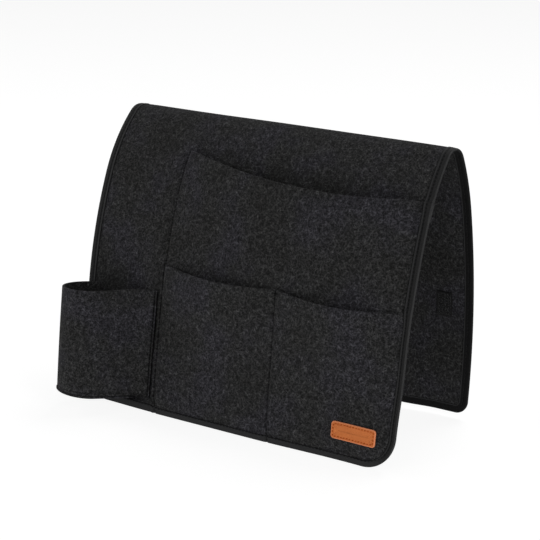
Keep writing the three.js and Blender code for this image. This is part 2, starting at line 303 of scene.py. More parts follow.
def lower_outer(x, t):
    sewn = groove(x - POCKET_LEFT - SEAM, 1.5, 0.8) + groove(x - DIVIDER_X, 2.1, 0.85)
    return lower_inner(x, t) + pocket_felt(x, t) - sewn


def stack_outer(x, t):
    """Top of whatever lies on the front or back flap at one place."""
    here = ease(x - POCKET_LEFT, -3, 0) * (t > 0)
    large = here * ease(t - large_mouth(x), -4, -0.3)
    lower = here * ease(t - lower_mouth(x), -4, -0.3)
    body, first = body_outer(x, t), large_outer(x, t)
    return body + large * (first - body) + lower * (lower_outer(x, t) - first)


# Mesh building


def make_object(name, points, faces, uv=None, **attributes):
    mesh = bpy.data.meshes.new(name)
    metres = (np.asarray(points).reshape(-1, 3) + SHIFT) / 1000
    mesh.from_pydata(metres.tolist(), [], [tuple(face) for face in faces])
    mesh.shade_smooth()
    if uv is not None:
        layer = mesh.uv_layers.new(name="cloth")
        corners = np.empty(len(mesh.loops), np.int32)
        mesh.loops.foreach_get("vertex_index", corners)
        layer.data.foreach_set("uv", np.asarray(uv, np.float32)[corners].ravel())
    for key, values in attributes.items():
        attribute = mesh.attributes.new(key, "FLOAT", "POINT")
        attribute.data.foreach_set("value", np.asarray(values, np.float32).ravel())
    obj = bpy.data.objects.new(name, mesh)
    bpy.context.scene.collection.objects.link(obj)
    return obj


def grid_faces(rows, columns):
    index = np.arange(rows * columns).reshape(rows, columns)
    return np.stack([index[:-1, :-1], index[1:, :-1], index[1:, 1:], index[:-1, 1:]], -1).reshape(-1, 4)


def ring_faces(rings, columns):
    """Faces between closed rings of points, one ring after another."""
    index = np.arange(rings * columns).reshape(rings, columns)
    around = np.roll(index, -1, axis=1)
    return np.stack([index[:-1], index[1:], around[1:], around[:-1]], -1).reshape(-1, 4)


def rim_faces(rows, columns, other):
    """Faces that join the outer edges of two grids, the second of which starts at point other."""
    index = np.arange(rows * columns).reshape(rows, columns)
    loop = np.concatenate([index[0, :-1], index[:-1, -1], index[-1, :0:-1], index[:0:-1, 0]])
    following = np.roll(loop, -1)
    return np.stack([loop, following, following + other, loop + other], -1)


def shell(name, outer, inner, uv, **attributes):
    """A closed piece between two grids of points. Its faces are turned outwards."""
    rows, columns = outer.shape[:2]
    size = rows * columns
    points = np.concatenate([outer.reshape(-1, 3), inner.reshape(-1, 3)])
    face = grid_faces(rows, columns)
    faces = np.concatenate([face, face[:, ::-1] + size, rim_faces(rows, columns, size)])
    a, b, c, d = (points[faces[:, k]] for k in range(4))
    volume = np.einsum("ij,ij->i", a, np.cross(b, c)) + np.einsum("ij,ij->i", a, np.cross(c, d))
    if volume.sum() < 0:
        faces = faces[:, ::-1]
    uv = np.concatenate([uv.reshape(-1, 2)] * 2) / 1000
    both = {key: np.concatenate([np.ravel(v)] * 2) for key, v in attributes.items()}
    return make_object(name, points, faces, uv, **both)


EDGE_STEPS = np.array([0, 0.12, 0.35, 0.7, 1.2, 1.9])
EDGE_ZONE = 2.2  # of close steps at a cut edge


def edged(low, high, step):
    """Positions from low to high, crowded at both ends."""
    first, last = low + 3, high - 3
    inner = np.linspace(first, last, max(round((last - first) / step), 1) + 1)
    return np.concatenate([low + EDGE_STEPS, inner, high - EDGE_STEPS[::-1]])


def edge_round(distance, radius=1.0, power=2.6):
    """Share of a felt's thickness at a distance in from its cut edge."""
    short = 1 - np.clip(distance / radius, 0, 1)
    return 0.04 + 0.96 * (1 - short**power) ** (1 / power)


def felt_piece(name, xs, edges, inner, outer, step, surface=drape):
    """Felt cut to the columns xs, each from edges(x)[0] to edges(x)[1], with rounded cut edges."""
    top, bottom = edges(xs)
    rows = max(int(round((bottom - top).max() / step)), 4)
    share = np.linspace(0, 1, rows)[:, None]
    near = EDGE_STEPS[:-1, None]
    between = top + EDGE_ZONE + (bottom - top - 2 * EDGE_ZONE) * share
    t = np.concatenate([top + near, between, bottom - near[::-1]])
    x = np.broadcast_to(xs, t.shape)
    distance = np.minimum(np.minimum(t - top, bottom - t), np.minimum(x - xs[0], xs[-1] - x))
    low, high = inner(x, t), outer(x, t)
    middle, half = (low + high) / 2, (high - low) / 2 * edge_round(distance)
    uv = np.stack([x, t], -1)
    return shell(name, surface(x, t, middle + half), surface(x, t, middle - half), uv)


# Threads

THREAD = 0.3
RINGS = np.array([0, 0.16, 0.5, 0.84, 1])
RING_LIFT = np.array([-0.45, 0.12, 0.26, 0.12, -0.45])
RING_SIZE = np.array([0.7, 1, 1.05, 1, 0.7])


def stitches(name, a, b, side_a, side_b, height, surface=drape, under=False, pitch=STITCH, share=0.74,
             thread=THREAD):
    """A run of stitches along the points (a, b) of a surface, at height(a, b) above it.

    side_a and side_b point across the run. Under the surface the thread lies on its other face.
    """
    lengths = np.hypot(np.diff(a), np.diff(b))
    along = np.concatenate([[0], np.cumsum(lengths)])
    count = max(int(round(along[-1] / pitch)), 1)
    starts = (np.arange(count) + (1 - share) / 2) * along[-1] / count
    s = starts[:, None] + RINGS * share * along[-1] / count
    s = s + rng.normal(0, 0.05, (count, 1))
    at = [np.interp(s, along, values)[..., None] for values in (a, b, side_a, side_b)]
    angle = np.linspace(0, 2 * np.pi, 6, endpoint=False)
    lean = rng.normal(0, 0.05, (count, 1, 1)) + (RINGS - 0.5)[:, None] * 0.25
    radius = thread * RING_SIZE[:, None]
    across = radius * np.cos(angle) + lean
    lift = thread * 1.6 * RING_LIFT[:, None] + radius * np.sin(angle)
    base = height(at[0], at[1])
    offset = base - lift if under else base + lift
    points = surface(at[0] + at[2] * across, at[1] + at[3] * across, offset)
    rings, sides = len(RINGS), len(angle)
    end = (rings - 1) * sides  # the last ring's first point
    caps = [(0, 1, 2, 3), (0, 3, 4, 5), (end + 3, end + 2, end + 1, end), (end + 5, end + 4, end + 3, end)]
    one = np.concatenate([ring_faces(rings, sides), caps])
    faces = (one[None] + (np.arange(count) * rings * sides)[:, None, None]).reshape(-1, 4)
    if under:
        faces = faces[:, ::-1]
    return make_object(name, points, faces)


# Felt sheet and pockets

CUT_EDGE = BODY_EDGE - 0.2
WAVE = 0.12
made = {}


def hem_inset(x, corner):
    """How far a rounded corner draws the hem up."""
    reach = np.maximum(corner - (WIDTH / 2 - np.abs(x)), 0)
    return corner - np.sqrt(np.maximum(corner**2 - reach**2, 0))


def hem(x):
    return FRONT["length"] - EDGE_INSET - hem_inset(np.clip(x, -BODY_EDGE, BODY_EDGE), FRONT_CORNER)


def back_hem(x):
    return -BACK["length"] + EDGE_INSET + hem_inset(np.clip(x, -BODY_EDGE, BODY_EDGE), BACK_CORNER)


def wave(x, t):
    """Slight unevenness of a large piece of felt."""
    sway = np.sin(x / 41 + t / 67 + 0.6) + 0.7 * np.sin(x / 23 - t / 31 + 2.1) + 0.5 * np.sin(t / 17 + x / 90)
    return WAVE * sway * ease(edge_distance(x, t), 8, 40)


def sheet_xs(low, high, corner, step):
    """Columns across the sheet, closer together at its rounded corners."""
    angle = np.linspace(0, np.pi / 2, 9)
    bend = corner * (1 - np.cos(angle))
    steps = max(int(round((high - low - 2 * corner) / step)), 2)
    middle = np.linspace(low + corner, high - corner, steps + 1)[1:-1]
    return np.concatenate([low + bend, middle, high - bend[::-1]])


felt_sheet = felt_piece(
    "felt_sheet",
    sheet_xs(-CUT_EDGE, CUT_EDGE, FRONT_CORNER - 1, 3.4),
    lambda x: (back_hem(x), hem(x)),
    lambda x, t: body_inner(x, t) + wave(x, t),
    lambda x, t: body_outer(x, t) + wave(x, t),
    3.2,
)
made["felt"] = [felt_sheet]

corner_angle = np.linspace(0, np.pi / 2, 12)
right_xs = CUT_EDGE - (FRONT_CORNER - 1) * (1 - np.sin(corner_angle))
left_xs = POCKET_LEFT + np.concatenate([EDGE_STEPS, np.arange(2.6, 9, 0.7)])


def pocket_xs(extra=()):
    """Columns across a pocket, with extra ones that take the place of any too near."""
    middle = np.arange(left_xs[-1] + 2.5, right_xs[0] - 2, 2.8)
    for x in extra:
        middle = middle[np.abs(middle - x) > 0.5]
    return np.sort(np.concatenate([left_xs, middle, right_xs, extra]))


large_pocket = felt_piece(
    "large_pocket_felt",
    pocket_xs(),
    lambda x: (large_mouth(x), hem(x)),
    large_inner,
    large_outer,
    2.8,
)
lower_pocket = felt_piece(
    "lower_pocket_felt",
    pocket_xs(DIVIDER_X + 0.8 * np.arange(-3, 4)),
    lambda x: (lower_mouth(x), hem(x)),
    lower_inner,
    lower_outer,
    2.4,
)
made["felt"] += [large_pocket, lower_pocket]

# Binding tape: one strip round the whole sheet, whose ends lap at the large pocket's right corner


def flap_border(flap, corner, step):
    """From the right side's top down, round the hem and up the left side.

    Each point has its x, its distance from the crest and the direction inwards.
    """
    side, turn = WIDTH / 2, flap["length"] - corner
    down = np.arange(0, turn, step)
    angle = np.linspace(0, np.pi / 2, max(int(corner * np.pi / 2 / step), 8) + 1)
    x, d = side - corner + corner * np.cos(angle), turn + corner * np.sin(angle)
    bottom = np.arange(side - corner - step, -side + corner + step / 2, -step)
    right = np.concatenate([
        np.stack([side + 0 * down, down, 0 * down - 1, 0 * down], 1),
        np.stack([x, d, -np.cos(angle), -np.sin(angle)], 1),
    ])
    middle = np.stack([bottom, flap["length"] + 0 * bottom, 0 * bottom, 0 * bottom - 1], 1)
    return np.concatenate([right, middle, right[::-1] * [-1, 1, -1, 1]])


def tape_path():
    """x, t, inwards x, inwards t and lap height, from under the lap round the sheet to over it."""
    back = flap_border(BACK, BACK_CORNER, TAPE_STEP)
    back[:, 1] *= -1
    back[:, 3] *= -1
    front = flap_border(FRONT, FRONT_CORNER, TAPE_STEP)[::-1]
    up = np.arange(LAP_UNDER, TAPE_STEP / 2, -TAPE_STEP)
    start = np.stack([WIDTH / 2 + 0 * up, up, 0 * up - 1, 0 * up], 1)
    front = front[:np.flatnonzero((front[:, 0] > WIDTH / 2 - 1e-6) & (front[:, 1] < LAP_OVER))[0]]
    path = np.concatenate([start, back, front[1:]])
    lap = np.zeros(len(path))
    tail = path[-LAP_POINTS:, 1]
    lap[-LAP_POINTS:] = (TAPE + 0.1) * (1 - ease(tail, LAP_UNDER, LAP_UNDER + LAP_RISE))
    return np.column_stack([path, lap])


# Points of the tape's section: in from the edge on each face, and round its fold
SECTION_FLAT = TAPE_WIDTH - np.array([0, 0.25, 0.6, 1.3, 2.1, 2.6, 2.9, 3.2, 3.5, 3.9, 4.9])
SECTION_TURNS = np.linspace(0, np.pi, 10)


def tape_binding():
    """The tape and the two rows of thread that sew it on."""
    path = tape_path()
    x, t, in_x, in_t, lap = (path[:, k, None] for k in range(5))
    steps = np.hypot(np.diff(path[:, 0]), np.diff(path[:, 1]))
    run = np.concatenate([[0], np.cumsum(steps)])[:, None]
    pucker = 0.6 + 0.4 * np.cos(2 * np.pi * run / STITCH)
    near_x, near_t = x + in_x * 5, t + in_t * 5
    stack = stack_outer(near_x, near_t) - body_inner(near_x, near_t)
    on_large = ease(t - large_mouth(x), 0, LOSS_REACH)
    on_lower = ease(t - lower_mouth(x), 0, LOSS_REACH)
    at_right = np.maximum(-in_x, 0) * (LARGE_LOSS * on_large + LOWER_LOSS * on_lower) * (t > 0)
    loss = THICK_LOSS * ease(stack, FELT, FELT + 1.5) + at_right
    width = 1 - loss / TAPE_WIDTH
    seam = HEM_SEAM + (SIDE_SEAM - HEM_SEAM) * in_x**2

    def face(top, flat, inwards_sign):
        dip = groove(flat - seam * width, 0.28, 0.7) * pucker
        return top(x + in_x * flat, t + in_t * flat) + inwards_sign * (TOUCH + TAPE + lap - dip)

    flat = SECTION_FLAT[None] * width
    out = face(stack_outer, flat, 1)
    under = face(body_inner, flat, -1)
    turn = SECTION_TURNS[None, 1:-1]
    high, low = out[:, -1:], under[:, -1:]
    middle, half = (high + low) / 2, (high - low) / 2
    roll = TAPE_ROLL * np.abs(in_x) + lap
    bend = flat[:, -1:] - (flat[:, -1:] + roll) * np.sin(turn) ** 0.9

    def layer(thin):
        arc_n = middle + (half - thin) * np.cos(turn) * np.abs(np.cos(turn)) ** -0.25
        d = np.concatenate([flat, bend + thin * np.sin(turn), flat[:, ::-1]], 1)
        n = np.concatenate([out - thin, arc_n, under[:, ::-1] + thin], 1)
        return d, drape(x + in_x * d, t + in_t * d, n)

    d, points = layer(0)
    across = d / width + INNER_FACE * (np.arange(d.shape[1]) >= d.shape[1] // 2)
    uv = np.stack(np.broadcast_arrays(run, across), -1)
    side = np.broadcast_to(in_x**2, d.shape)
    tape = shell("binding_tape", points, layer(TAPE * 0.85)[1], uv, side=side)

    inset = (seam * width)[:, 0]
    a, b = path[:, 0] + path[:, 2] * inset, path[:, 1] + path[:, 3] * inset
    sewn = slice(8, -9)  # without the tape's ends
    lift = TOUCH + TAPE - 0.16
    threads = []
    for name, top, sign in (("outer", stack_outer, 1), ("inner", body_inner, -1)):
        threads.append(stitches(
            f"tape_seam_{name}", a[sewn], b[sewn], path[sewn, 2], path[sewn, 3],
            lambda u, v: top(u, v) + sign * lift, under=sign < 0,
        ))
    return tape, threads


binding_tape, tape_threads = tape_binding()
made["tape"] = [binding_tape]
made["tape_thread"] = tape_threads[:1]
made["inner_thread"] = tape_threads[1:]

# Cup sleeve


def sleeve_plan():
    """The strip seen from above: its first point and heading, and the radius and length of each stretch."""
    foot, start = TOUCH + FELT / 2, math.radians(CUP_START)
    centre = np.array([CUP_CENTRE_X - CUP_SEAM_X, TOUCH + (CUP_RADIUS + FELT / 2) * math.cos(start)])
    foot_centre = np.array([CUP_FOOT_X - CUP_SEAM_X, foot + CUP_FOOT_RADIUS])
    between = foot_centre - centre
    both = CUP_RADIUS + CUP_FOOT_RADIUS
    leave = math.atan2(between[1], between[0]) + math.acos(both / math.hypot(*between))
    turns = [
        (-CUP_RADIUS, CUP_RADIUS * (1.5 * math.pi - leave - start)),
        (math.inf, math.sqrt(between @ between - both**2)),
        (CUP_FOOT_RADIUS, CUP_FOOT_RADIUS * (math.pi / 2 - leave)),
        (math.inf, CUP_SEAM_X - CUP_FOOT_X + CUP_MARGIN),
    ]
    first = centre - CUP_RADIUS * np.array([math.sin(start), math.cos(start)])
    return first, math.pi - start, turns


def follow(place, radius, along):
    """x, y and heading at a distance along a straight or a bend that starts at a place."""
    x, y, heading = place
    if math.isinf(radius):
        return x + math.cos(heading) * along, y + math.sin(heading) * along, heading + 0 * along
    end = heading + along / radius
    return x + radius * (np.sin(end) - math.sin(heading)), y - radius * (np.cos(end) - math.cos(heading)), end


def plan_at(s):
    """x, distance off the panel and heading along the strip's middle line."""
    first, heading, turns = sleeve_plan()
    corner = (*first, heading)
    s = np.asarray(s, float)
    found, start = [np.full(s.shape, value) for value in corner], 0.0
    for radius, length in turns:
        here = s >= start - 1e-9
        place = follow(corner, radius, np.clip(s - start, 0, length))
        found = [np.where(here, new, old) for new, old in zip(place, found)]
        corner = follow(corner, radius, length)
        start += length
    return found


STRIP = sum(length for _, length in sleeve_plan()[2])
CUP_PLACE = drape(CUP_SEAM_X, CUP_BOTTOM, 0)
CUP_TILT = float(flap_at(FRONT, np.array(CUP_BOTTOM))[2]) - math.pi / 2


def cup_place(x, off, z):
    """From the sleeve's own frame, which stands on the front panel, to the sheet's."""
    down = CUP_BOTTOM - z
    y = -np.asarray(off) - bow(CUP_SEAM_X + x, down) + bow(CUP_SEAM_X, CUP_BOTTOM)
    cosine, sine = math.cos(CUP_TILT), math.sin(CUP_TILT)
    return np.stack([x + 0 * z, y * cosine - z * sine, y * sine + z * cosine], -1) + CUP_PLACE


def sleeve(s, z, n):
    x, off, heading = plan_at(s)
    return cup_place(x - np.sin(heading) * n, off + np.cos(heading) * n, z)


def strip_x(s):
    return plan_at(s)[0]


RIGHT_SEAM = STRIP - 3.3
REAR_SEAM = 3.0
SEAM_COLUMNS = RIGHT_SEAM + np.array([-1.4, -0.9, -0.45, 0, 0.45, 0.9])


def strip_half(s, z):
    low = z + CUP_BASE_RISE * strip_x(s)
    return FELT / 2 * (1 - groove(s - REAR_SEAM, 0.5, 1.2)) * (0.8 + 0.2 * ease(low, 0.5, 5))


def sleeve_middle(s, z):
    return 0.35 * np.sin(s / 9 + z / 30) * ease(s, 10, 30) * ease(STRIP - s, 10, 30)


def strip_outer(s, z):
    pressed = 0.9 * ease(s, RIGHT_SEAM, RIGHT_SEAM + 1)
    return sleeve_middle(s, z) + strip_half(s, z) - groove(s - RIGHT_SEAM, 2.1, 1.4) - pressed


def strip_inner(s, z):
    lifted = 0.7 * ease(s, STRIP - 2.2, STRIP - 0.6)
    return sleeve_middle(s, z) - strip_half(s, z) + lifted


cup_sleeve = felt_piece(
    "cup_sleeve_felt",
    np.sort(np.concatenate([edged(0, STRIP, 2.0), SEAM_COLUMNS])),
    lambda s: (-CUP_BASE_RISE * strip_x(s), CUP_HEIGHT + CUP_RIM_DROP * strip_x(s)),
    strip_inner,
    strip_outer,
    2.2,
    surface=sleeve,
)
made["felt"].append(cup_sleeve)


# The base's section: share of the way from its middle to its edge, and of the way down
BASE_PROFILE = [
    (0.0, 0), (0.5, 0), (0.9, 0), (0.985, 0.04), (1.0, 0.3),
    (1.0, 0.75), (0.985, 0.97), (0.9, 1), (0.5, 1), (0.0, 1),
]
BASE_MARGIN = FELT / 2 + 0.5  # from the strip's middle line out to the base's edge


def cup_base():
    x, off, heading = plan_at(np.linspace(0, STRIP - 2, 90))
    middle_x, middle_off = CUP_CENTRE_X - CUP_SEAM_X, CUP_RADIUS + 1.5
    edge_x = x - np.sin(heading) * BASE_MARGIN
    edge_off = np.maximum(off + np.cos(heading) * BASE_MARGIN, 0.4)
    rings = []
    for share, down in BASE_PROFILE:
        px = middle_x + (edge_x - middle_x) * share
        po = middle_off + (edge_off - middle_off) * share
        rings.append(cup_place(px, po, -CUP_BASE_RISE * px - 0.15 - CUP_BASE * down))
    points = np.array(rings)
    uv = points[..., :2].reshape(-1, 2) / 1000
    return make_object("cup_base_felt", points, ring_faces(*points.shape[:2]), uv)


cup_plate = cup_base()
made["felt"].append(cup_plate)


# Seams on the front flap


def line(x0, t0, x1, t1):
    """Points about 1 mm apart, each with the direction across the line."""
    length = math.hypot(x1 - x0, t1 - t0)
    count = max(int(length), 2)
    return (np.linspace(x0, x1, count), np.linspace(t0, t1, count),
            np.full(count, -(t1 - t0) / length), np.full(count, (x1 - x0) / length))


seam_x = POCKET_LEFT + SEAM
hem_stop = FRONT["length"] - 10
large_start, lower_start, divider_start = 52, 156, 159
threads = []
for name, x, start, stop, height in (
    ("pocket_seam_upper", seam_x, large_start, lower_start - 5, large_outer),
    ("pocket_seam_lower", seam_x, lower_start, hem_stop, lower_outer),
    ("pocket_seam_inside", seam_x, large_start, hem_stop, body_inner),
    ("divider_seam", DIVIDER_X, divider_start, hem_stop, lower_outer),
    ("divider_seam_inside", DIVIDER_X, divider_start, hem_stop, body_inner),
):
    threads.append(stitches(
        name, *line(x, start, x, stop), lambda u, v: height(u, v) - 0.05, under=height is body_inner,
    ))
for k in range(2):
    tack_t = divider_start + 0.4 + 0.8 * k
    threads.append(stitches(
        f"divider_tack_{k}", *line(DIVIDER_X - 3.4, tack_t, DIVIDER_X + 3.4, tack_t),
        lambda u, v: lower_outer(u, v) + 0.05, pitch=2.3, share=0.95,
    ))
sleeve_top = CUP_HEIGHT - 1.5
# The seam's thread is thick and close, so that it also paints the shade in the seam's groove.
threads.append(stitches(
    "sleeve_seam", *line(RIGHT_SEAM, 2, RIGHT_SEAM, sleeve_top),
    lambda s, z: strip_outer(s, z) + 0.1, surface=sleeve, share=0.9, thread=0.5,
))
# A run of edge stitches so thick and close that it paints the black shadow in the gap under the strip's end.
threads.append(stitches(
    "sleeve_edge_shadow_thread", *line(STRIP - 0.2, 1, STRIP - 0.2, sleeve_top),
    lambda s, z: strip_inner(s, z) - 0.1, surface=sleeve, share=0.99, thread=0.75,
))
s_run = np.linspace(8, STRIP - 5, 300)
base_seam = (s_run, -CUP_BASE_RISE * strip_x(s_run) + 2.6, 0 * s_run, 0 * s_run + 1)
threads.append(stitches("base_seam", *base_seam, lambda s, z: strip_outer(s, z) - 0.15, surface=sleeve))
made["felt_thread"] = threads

# Label

LABEL_HALF = (LABEL["width"] / 2, LABEL["height"] / 2)
LABEL_BASE = float(lower_outer(LABEL["x"] - LABEL_HALF[0], LABEL["t"] - LABEL_HALF[1])) + 0.3
LABEL_INSET = 2.1  # from its edge in to its seam


def leather_label():
    """Rings of points from its edge inwards, on the face and on the back."""
    (half_w, half_h), corner = LABEL_HALF, LABEL["corner"]
    rings = np.concatenate([[0, 0.1, 0.3, 0.6, 1.0, 1.5], np.arange(2.0, half_h + 0.01, 0.5)])
    angle = np.linspace(0, np.pi / 2, 7)
    rows_out, rows_in, uv, edge = [], [], [], []
    for inset in rings:
        radius = max(corner - inset, 0.0)
        w, h = half_w - inset, half_h - inset
        quarter = np.stack([w - radius + radius * np.sin(angle), -(h - radius) - radius * np.cos(angle)], 1)
        top = np.stack([np.linspace(-(w - radius), w - radius, 30)[1:-1], np.full(28, -h)], 1)
        right = np.stack([np.full(8, w), np.linspace(-(h - radius), h - radius, 10)[1:-1]], 1)
        half = np.concatenate([top, quarter, right, quarter[::-1] * [1, -1]])
        loop = np.concatenate([half, -half])
        x, t = LABEL["x"] + loop[:, 0], LABEL["t"] + loop[:, 1]
        thick = LABEL["thickness"] * (0.35 + 0.65 * edge_round(inset, 1.1, 2.2))
        dome = 0.12 * ease(inset, 2, 6) - groove(inset - LABEL_INSET, 0.16, 0.7)
        rows_out.append(drape(x, t, LABEL_BASE + thick + dome))
        rows_in.append(drape(x, t, LABEL_BASE))
        uv.append(np.stack([x, t], 1))
        edge.append(np.full(len(loop), inset))
    points = np.array(rows_out[::-1] + rows_in)
    uv = np.array(uv[::-1] + uv).reshape(-1, 2) / 1000
    edge = np.array(edge[::-1] + edge).ravel()
    return make_object("leather_tag", points, ring_faces(*points.shape[:2]), uv, rim=edge)


tag = leather_label()
made["leather"] = [tag]


def tag_seam():
    radius = 1.2
    angle = np.linspace(0, np.pi / 2, 6)
    right, low = (half - LABEL_INSET - radius for half in LABEL_HALF)
    loop, sides = [], []
    for sx, sy, first in ((1, -1, -90), (1, 1, 0), (-1, 1, 90), (-1, -1, 180)):
        turn = np.radians(first) + angle
        loop.append(np.stack([sx * right + radius * np.cos(turn), sy * low + radius * np.sin(turn)], 1))
        sides.append(np.stack([np.cos(turn), np.sin(turn)], 1))
    loop, sides = np.concatenate([*loop, loop[0][:1]]), np.concatenate([*sides, sides[0][:1]])
    height = LABEL_BASE + LABEL["thickness"] - 0.12
    return stitches("tag_seam", LABEL["x"] + loop[:, 0], LABEL["t"] + loop[:, 1], sides[:, 0], sides[:, 1],
                    lambda u, v: height + 0 * u, pitch=2.9, share=0.6, thread=0.55)


made["leather_thread"] = [tag_seam()]


# Hook patches on the inner face of the back flap

PATCH_TOP = -FELT - TOUCH
HOOK_FOOT = PATCH_TOP - PATCH["web"] + 0.04


def patch_piece(name, centre):
    half_w, half_h = PATCH["width"] / 2, PATCH["height"] / 2
    return felt_piece(
        name,
        edged(centre - half_w, centre + half_w, 1.5),
        lambda x: (0 * x - PATCH["t"] - half_h, 0 * x - PATCH["t"] + half_h),
        lambda x, t: PATCH_TOP - PATCH["web"] + 0 * x,
        lambda x, t: PATCH_TOP + 0 * x,
        1.5,
    )


def hooks(name, centre):
    """Rows of small bent hooks that stand on the patch."""
    rows, columns = np.meshgrid(np.arange(-9.9, 10, 1.5), np.arange(-6.0, 6.1, 1.5), indexing="ij")
    x = centre + columns.ravel() + rng.normal(0, 0.08, columns.size)
    t = -PATCH["t"] + rows.ravel() + rng.normal(0, 0.08, columns.size)
    lean = rng.choice([-1, 1], columns.size) * 0.5
    bend = np.array([(0.0, 0.0), (0.05, 0.4), (0.35, 0.62), (0.75, 0.42)])  # along and up, ring by ring
    size = np.array([0.22, 0.2, 0.17, 0.12])
    angle = np.linspace(0, 2 * np.pi, 5, endpoint=False)
    x, t, lean = (values[:, None, None] for values in (x, t, lean))
    hx = x + 0.3 * lean + size[:, None] * np.cos(angle)
    ht = t + np.sign(lean) * bend[:, :1] + size[:, None] * np.sin(angle)
    points = drape(hx, ht, HOOK_FOOT - bend[:, 1:])
    rings, sides = len(size), len(angle)
    corners = rings * sides
    one = ring_faces(rings, sides)[:, ::-1].tolist()
    one += [list(range(sides)), list(range(corners - 1, corners - sides - 1, -1))]
    faces = [[v + corners * k for v in face] for k in range(len(x)) for face in one]
    return make_object(name, points, faces)


patches = {}
for side, centre in (("left", -PATCH["x"]), ("right", PATCH["x"])):
    patches[side] = patch_piece(f"hook_patch_{side}_web", centre)
    patches[side + "_hooks"] = hooks(f"hook_patch_{side}_hooks", centre)
made["hook"] = [patches["left"], patches["right"]]
made["hook_tips"] = [patches["left_hooks"], patches["right_hooks"]]


# Materials


class Nodes:
    """A small helper for building the nodes of a material or of the world."""

    def __init__(self, owner):
        owner.use_nodes = True
        self.owner = owner
        self.tree = owner.node_tree

    def add(self, kind, inputs=None, **settings):
        node = self.tree.nodes.new(kind)
        for key, value in settings.items():
            setattr(node, key, value)
        for key, value in (inputs or {}).items():
            self.set(node.inputs[key], value)
        return node

    def set(self, socket, value):
        if isinstance(value, bpy.types.NodeSocket):
            self.tree.links.new(value, socket)
        else:
            socket.default_value = value

    def math(self, operation, a, b=0.0, clamp=False):
        node = self.add("ShaderNodeMath", {0: a, 1: b}, operation=operation)
        node.use_clamp = clamp
        return node.outputs[0]

    def product(self, first, *others):
        for other in others:
            first = self.math("MULTIPLY", first, other)
        return first

    def ramp(self, value, stops):
        node = self.add("ShaderNodeValToRGB", {0: value})
        elements = node.color_ramp.elements
        while len(elements) < len(stops):
            elements.new(0.5)
        for element, (position, colour) in zip(elements, stops):
            element.position = position
            element.color = (*colour, 1)
        return node.outputs[0]

    def spread(self, value, low, high, to_low=0.0, to_high=1.0):
        node = self.add("ShaderNodeMapRange", {0: value, 1: low, 2: high, 3: to_low, 4: to_high})
        return node.outputs[0]

    def band(self, value, start, full, fade, end):
        """1 between full and fade, and 0 before start and after end."""
        return self.math("MULTIPLY", self.spread(value, start, full), self.spread(value, end, fade))

    def mix(self, factor, a, b, blend="MIX"):
        node = self.add("ShaderNodeMix", data_type="RGBA", blend_type=blend)
        self.set(node.inputs[0], factor)
        self.set(node.inputs[6], a)
        self.set(node.inputs[7], b)
        return node.outputs[2]

    def cloth_mm(self, rotation=0.0, scale=(1, 1, 1), offset=(0, 0, 0)):
        """The flat cloth's own coordinates, in millimetres, turned and scaled."""
        uv = self.add("ShaderNodeUVMap", uv_map="cloth").outputs[0]
        grown = self.add("ShaderNodeVectorMath", {0: uv, 1: (1000, 1000, 1000)}, operation="MULTIPLY")
        turn = self.add("ShaderNodeMapping", {"Vector": grown.outputs[0], "Rotation": (0, 0, rotation)})
        size = self.add("ShaderNodeVectorMath", {0: turn.outputs[0], 1: scale}, operation="MULTIPLY")
        move = self.add("ShaderNodeVectorMath", {0: size.outputs[0], 1: offset}, operation="ADD")
        return move.outputs[0]

    def noise(self, vector, detail=2.0, roughness=0.5, distortion=0.0):
        inputs = {"Vector": vector, "Scale": 1.0, "Detail": detail, "Roughness": roughness,
                  "Distortion": distortion}
        return self.add("ShaderNodeTexNoise", inputs, noise_dimensions="2D").outputs["Fac"]

    def strands(self, turns, size, shift, detail, distortion, full):
        """Long thin patches that lie in several directions, added together."""
        total = None
        for k, degrees in enumerate(turns):
            where = self.cloth_mm(math.radians(degrees), (*size, 1), (shift[0] * k, shift[1] * k, 0))
            mask = self.spread(self.noise(where, detail=detail, distortion=distortion), 0.55, full)
            total = mask if total is None else self.math("ADD", total, mask)
        return total

    def seen(self):
        """1 for what the camera sees, also by a reflection, and 0 for the light that is thrown."""
        rays = self.add("ShaderNodeLightPath").outputs
        through = self.math("ADD", rays["Is Glossy Ray"], rays["Is Transmission Ray"])
        return self.math("ADD", rays["Is Camera Ray"], through, clamp=True)

    def surface(self, colour, roughness, specular, height, strength, distance):
        """Set the shader and its bump, and return the material."""
        shader = self.tree.nodes["Principled BSDF"].inputs
        bump = self.add("ShaderNodeBump", {"Height": height, "Strength": strength, "Distance": distance})
        self.set(shader["Base Color"], colour)
        self.set(shader["Roughness"], roughness)
        self.set(shader["Specular IOR Level"], specular)
        self.set(shader["Normal"], bump.outputs[0])
        return self.owner


def new_material(name):
    return Nodes(bpy.data.materials.new(name))


